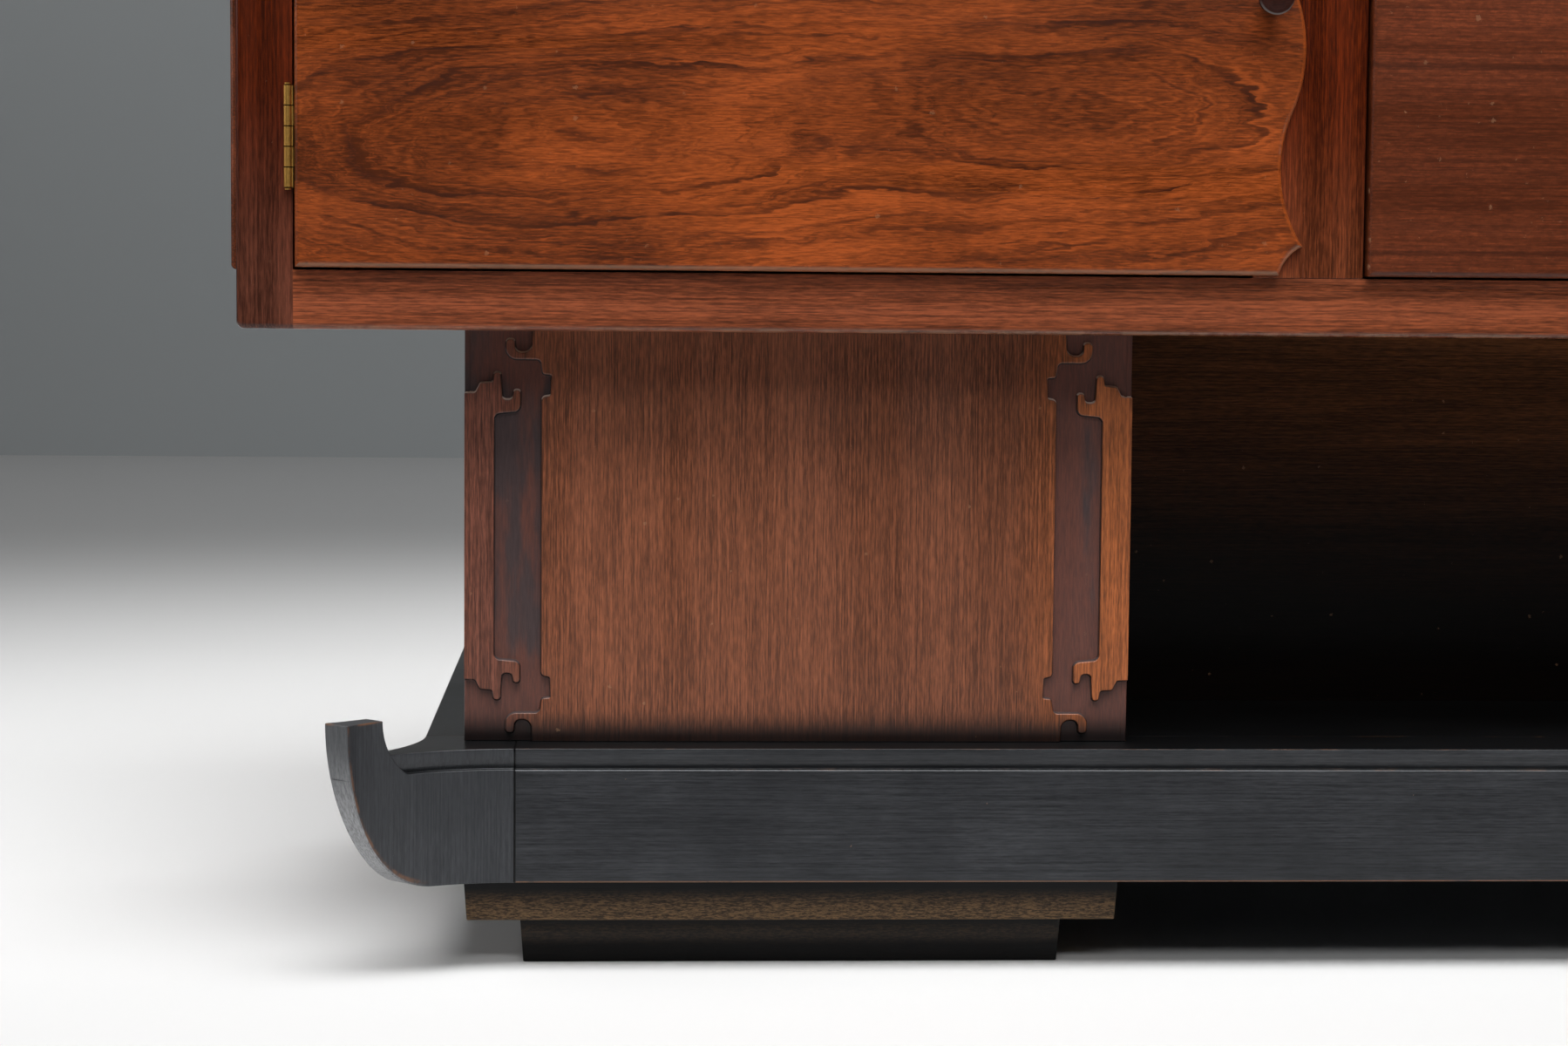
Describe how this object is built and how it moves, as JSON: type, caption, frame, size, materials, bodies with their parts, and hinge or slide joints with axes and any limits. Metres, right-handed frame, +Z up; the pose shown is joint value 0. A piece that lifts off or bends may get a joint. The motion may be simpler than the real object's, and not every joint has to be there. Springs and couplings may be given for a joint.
{
  "type": "credenza",
  "caption": "Long low credenza with lipped doors, centre drawers, pedestals with carved fret corners, and an ebonised base with upturned horns.",
  "frame": {"origin": "centre of the overall outline, on the floor", "axes": "+X to the right along the front, +Y from the front to the wall side, +Z up"},
  "size_m": [1.944, 0.593, 0.815],
  "materials": {
    "figured_veneer": "satin lacquered figured veneer, grain across the front",
    "frame_wood": "satin lacquered solid wood",
    "pedestal_veneer": "satin veneer, grain upright, with a carved fret",
    "ebonised_wood": "black stained wood with worn edges, satin",
    "dark_stained_foot_wood": "dark stained wood, worn",
    "inside_wood": "plain clear-finished inside wood",
    "turned_knob_wood": "turned dark wood, polished",
    "aged_brass": "aged brass, slightly dull"
  },
  "bodies": {
    "cabinet": {"back_panel": "inside_wood", "back_rails": "inside_wood", "base_back_rail": "ebonised_wood", "base_corner_left": "ebonised_wood", "base_corner_right": "ebonised_wood", "base_deck": "ebonised_wood", "base_front_rail": "ebonised_wood", "base_side_rails": "ebonised_wood", "bottom_board": "inside_wood", "drawer_divider_rail": "frame_wood", "drawer_runners": "inside_wood", "foot_lower_left": "dark_stained_foot_wood", "foot_lower_right": "dark_stained_foot_wood", "foot_upper_left": "dark_stained_foot_wood", "foot_upper_right": "dark_stained_foot_wood", "front_bottom_rail": "frame_wood", "front_post_left": "frame_wood", "front_post_right": "frame_wood", "front_top_rail": "frame_wood", "hinge_frame_leaves_left": "aged_brass", "hinge_frame_leaves_right": "aged_brass", "hinge_pins_left": "aged_brass", "hinge_pins_right": "aged_brass", "link_panel": "pedestal_veneer", "partition_left": "inside_wood", "partition_right": "inside_wood", "pedestal_back_left": "pedestal_veneer", "pedestal_back_right": "pedestal_veneer", "pedestal_front_left": "pedestal_veneer", "pedestal_front_right": "pedestal_veneer", "pedestal_sides_left": "pedestal_veneer", "pedestal_sides_right": "pedestal_veneer", "rear_posts": "inside_wood", "shelf_left": "inside_wood", "shelf_pins": "aged_brass", "shelf_right": "inside_wood", "side_panel_left": "frame_wood", "side_panel_right": "frame_wood", "side_rails_left": "frame_wood", "side_rails_right": "frame_wood", "stile_left": "frame_wood", "stile_right": "frame_wood", "top_board": "frame_wood"},
    "door_left": {"door_knob_left": "turned_knob_wood", "door_left": "figured_veneer", "hinge_door_leaves_left": "aged_brass"},
    "door_right": {"door_knob_right": "turned_knob_wood", "door_right": "figured_veneer", "hinge_door_leaves_right": "aged_brass"},
    "drawer_lower": {"lower_drawer_back": "inside_wood", "lower_drawer_bottom": "inside_wood", "lower_drawer_front": "figured_veneer", "lower_drawer_knobs": "turned_knob_wood", "lower_drawer_sides": "inside_wood"},
    "drawer_upper": {"upper_drawer_back": "inside_wood", "upper_drawer_bottom": "inside_wood", "upper_drawer_front": "figured_veneer", "upper_drawer_knobs": "turned_knob_wood", "upper_drawer_sides": "inside_wood"}
  },
  "joints": [
    {"name": "left_door_hinge", "type": "hinge", "parent": "cabinet", "child": "door_left", "pos_m": [-0.9289, -0.2663, 0.591], "axis": [0, 0, -1], "range_deg": [0, 160]},
    {"name": "right_door_hinge", "type": "hinge", "parent": "cabinet", "child": "door_right", "pos_m": [0.9289, -0.2663, 0.591], "axis": [0, 0, 1], "range_deg": [0, 160]},
    {"name": "lower_drawer_slide", "type": "slide", "parent": "cabinet", "child": "drawer_lower", "axis": [0, -1, 0], "range_m": [0, 0.38]},
    {"name": "upper_drawer_slide", "type": "slide", "parent": "cabinet", "child": "drawer_upper", "axis": [0, -1, 0], "range_m": [0, 0.38]}
  ]
}
